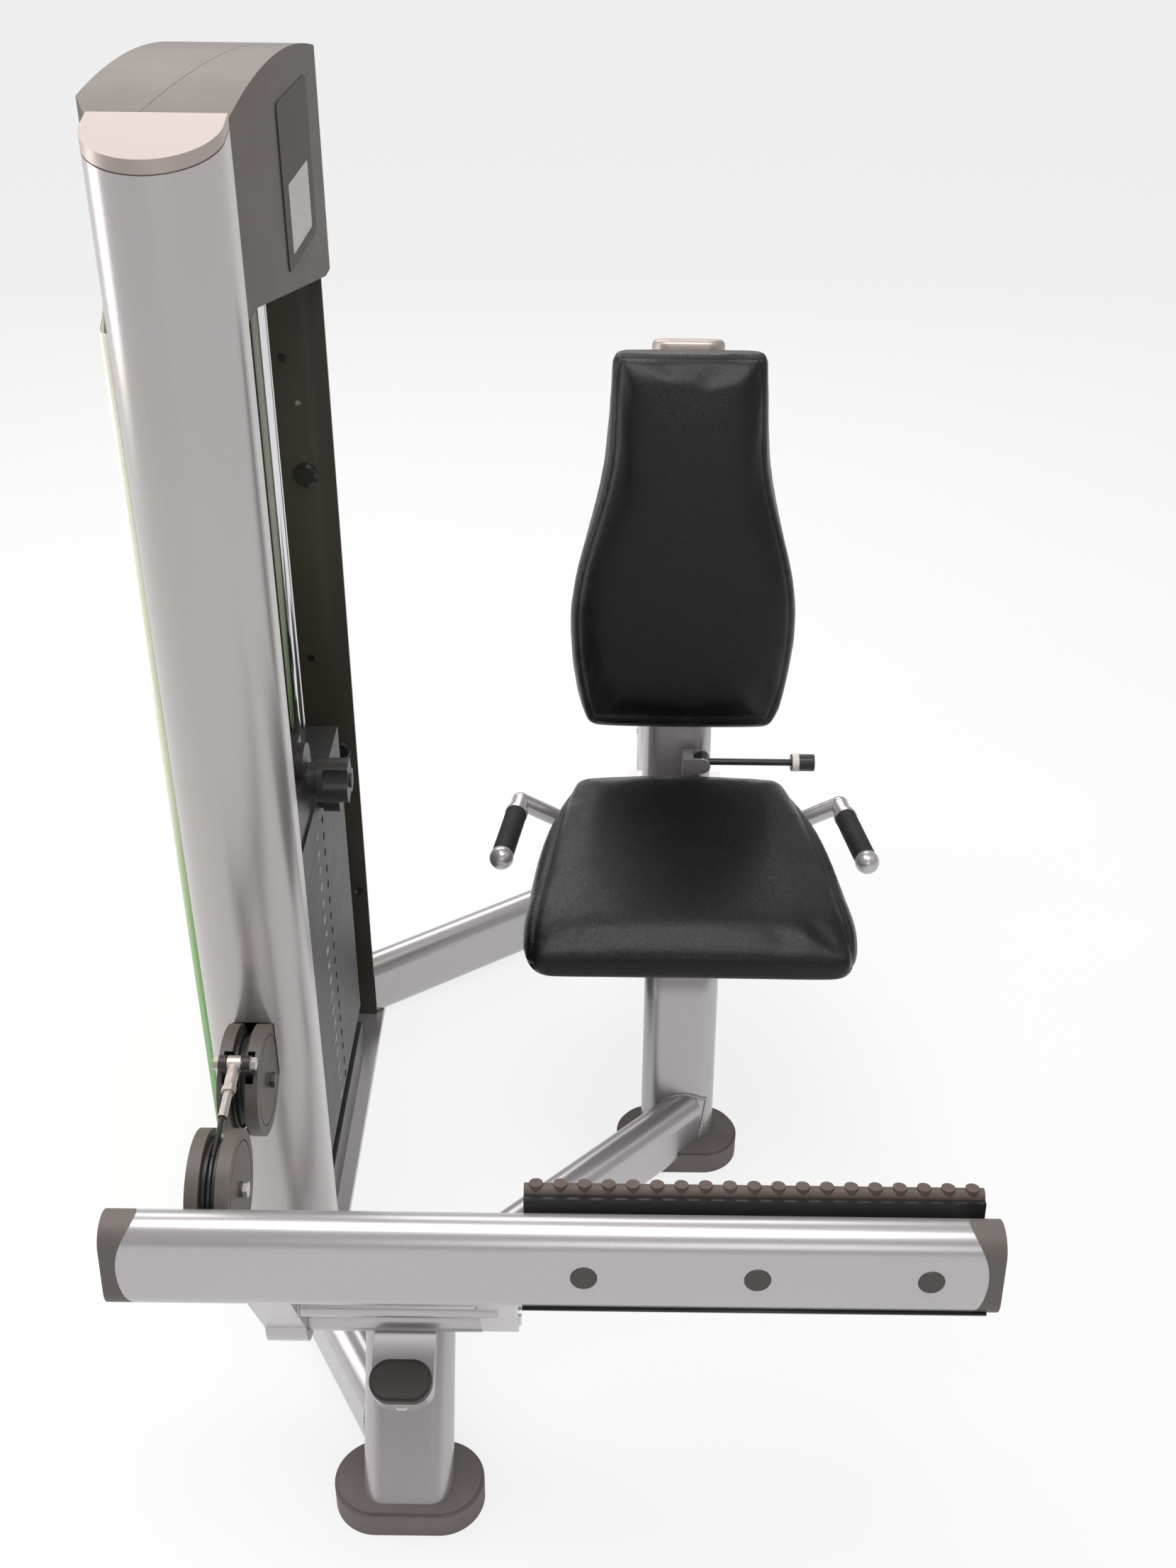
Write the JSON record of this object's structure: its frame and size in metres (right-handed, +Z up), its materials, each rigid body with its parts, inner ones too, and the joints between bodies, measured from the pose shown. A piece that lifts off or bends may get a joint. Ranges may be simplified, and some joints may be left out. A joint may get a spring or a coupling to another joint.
{
  "type": "calf raise machine",
  "caption": "Seated calf raise machine: side weight tower with selector stack, cable over guarded pulleys, pivoting foot bar, sliding padded seat with tall back pad and side grips",
  "frame": {"origin": "centre of the underside of the front rubber foot, on the floor", "axes": "+X towards the seat side, +Y from the foot bar towards the back pad, +Z up"},
  "size_m": [0.8895, 1.313, 1.448],
  "materials": {
    "frame_paint": "satin silver powder coat",
    "column_paint": "satin silver powder coat",
    "grey_plastic": "moulded brown grey plastic",
    "guard_plastic": "moulded grey plastic",
    "foot_rubber": "brown grey rubber",
    "black_rubber": "black rubber",
    "black_plastic": "black moulded plastic",
    "dark_paint": "black powder coat",
    "panel_paint": "dark brown grey paint",
    "iron": "dark enamel on iron",
    "chrome_steel": "chromed",
    "zinc": "zinc plated",
    "vinyl": "black grained vinyl",
    "board": "plywood with black cover",
    "frosted": "frosted acrylic",
    "cable_jacket": "black nylon jacket",
    "tread": "ribbed dark rubber"
  },
  "bodies": {
    "frame": {"front_foot": "foot_rubber", "front_post": "frame_paint", "pivot_housing": "frame_paint", "pivot_bushes": "black_plastic", "bumper_bracket": "frame_paint", "stop_bumper": "black_rubber", "base_tube_front": "frame_paint", "base_tube_seat": "frame_paint", "base_tube_rear": "frame_paint", "seat_leg": "frame_paint", "seat_rail": "frame_paint", "seat_feet": "foot_rubber", "rear_leg": "frame_paint", "rail_cap": "grey_plastic", "tower_base": "dark_paint", "tower_column": "column_paint", "column_cap": "column_paint", "rear_upright": "frame_paint", "rear_panel": "panel_paint", "panel_caps": "black_plastic", "left_cover": "frosted", "shroud_left": "grey_plastic", "shroud_right": "grey_plastic", "placard": "grey_plastic", "top_beam": "dark_paint", "guide_rods": "chrome_steel", "stack_bolster": "dark_paint", "stack_bumpers": "black_rubber", "weight_plates": "iron", "column_pulley_bracket": "dark_paint", "column_pulley_guards": "guard_plastic", "top_pulley_bracket": "dark_paint", "cable_clevis": "zinc", "cable_arm": "cable_jacket", "cable_column": "cable_jacket", "cable_stack": "cable_jacket"},
    "press_arm": {"press_arm_weldment": "frame_paint", "pivot_shaft": "chrome_steel", "bar_end_caps": "grey_plastic", "bar_plugs": "grey_plastic", "foot_plate": "dark_paint", "foot_tread": "tread", "arm_pulley_bracket": "frame_paint", "arm_pulley_guards": "guard_plastic"},
    "arm_pulley": {"arm_pulley_wheel": "black_plastic"},
    "column_pulley": {"column_pulley_wheel": "black_plastic"},
    "top_pulley_front": {"top_wheel_front": "black_plastic"},
    "top_pulley_rear": {"top_wheel_rear": "black_plastic"},
    "weight_carriage": {"head_plate": "iron", "selector_stem": "chrome_steel", "increment_block": "black_plastic"},
    "increment_dial": {"increment_knob": "black_plastic"},
    "selector": {"selector_pin": "black_plastic"},
    "seat": {"seat_carriage": "frame_paint", "seat_board": "board", "seat_pad": "vinyl", "back_post": "frame_paint", "back_pad": "vinyl", "handles": "black_rubber"},
    "lever": {"seat_lever": "dark_paint"}
  },
  "joints": [
    {"name": "press_arm_hinge", "type": "hinge", "parent": "frame", "child": "press_arm", "pos_m": [0, 0.064, 0.245], "axis": [1, 0, 0], "range_deg": [0, 60], "deforming": ["cable_arm"]},
    {"name": "weight_slide", "type": "slide", "parent": "frame", "child": "weight_carriage", "axis": [0, 0, 1], "range_m": [0, 0.351], "deforming": ["cable_stack"]},
    {"name": "arm_pulley_spin", "type": "hinge", "parent": "press_arm", "child": "arm_pulley", "pos_m": [-0.187, 0.062, 0.428], "axis": [1, 0, 0], "range_deg": [-253, 0]},
    {"name": "column_pulley_spin", "type": "hinge", "parent": "frame", "child": "column_pulley", "pos_m": [-0.187, 0.23, 0.428], "axis": [1, 0, 0], "range_deg": [-384, 0]},
    {"name": "top_pulley_front_spin", "type": "hinge", "parent": "frame", "child": "top_pulley_front", "pos_m": [-0.187, 0.334, 1.339], "axis": [1, 0, 0], "range_deg": [0, 384]},
    {"name": "top_pulley_rear_spin", "type": "hinge", "parent": "frame", "child": "top_pulley_rear", "pos_m": [-0.187, 0.533, 1.339], "axis": [1, 0, 0], "range_deg": [0, 384]},
    {"name": "increment_knob_turn", "type": "hinge", "parent": "weight_carriage", "child": "increment_dial", "pos_m": [-0.12, 0.54, 0.6371], "axis": [1, 0, 0], "range_deg": [0, 120]},
    {"name": "selector_pin_pull", "type": "slide", "parent": "weight_carriage", "child": "selector", "axis": [1, 0, 0], "range_m": [0, 0.075]},
    {"name": "seat_slide", "type": "slide", "parent": "frame", "child": "seat", "axis": [0, 1, 0], "range_m": [0, 0.15]},
    {"name": "seat_lever_lift", "type": "hinge", "parent": "seat", "child": "lever", "pos_m": [0.361, 0.89, 0.458], "axis": [0, -1, 0], "range_deg": [0, 20], "stiffness_Nm_per_rad": 0.5, "springref_deg": -17.19}
  ],
  "couplings": [
    {"joint": "weight_slide", "follows": "press_arm_hinge", "m_per_rad": 0.3309},
    {"joint": "arm_pulley_spin", "follows": "press_arm_hinge", "ratio": -4.181},
    {"joint": "column_pulley_spin", "follows": "press_arm_hinge", "ratio": -6.363},
    {"joint": "top_pulley_front_spin", "follows": "press_arm_hinge", "ratio": 6.363},
    {"joint": "top_pulley_rear_spin", "follows": "press_arm_hinge", "ratio": 6.363}
  ]
}
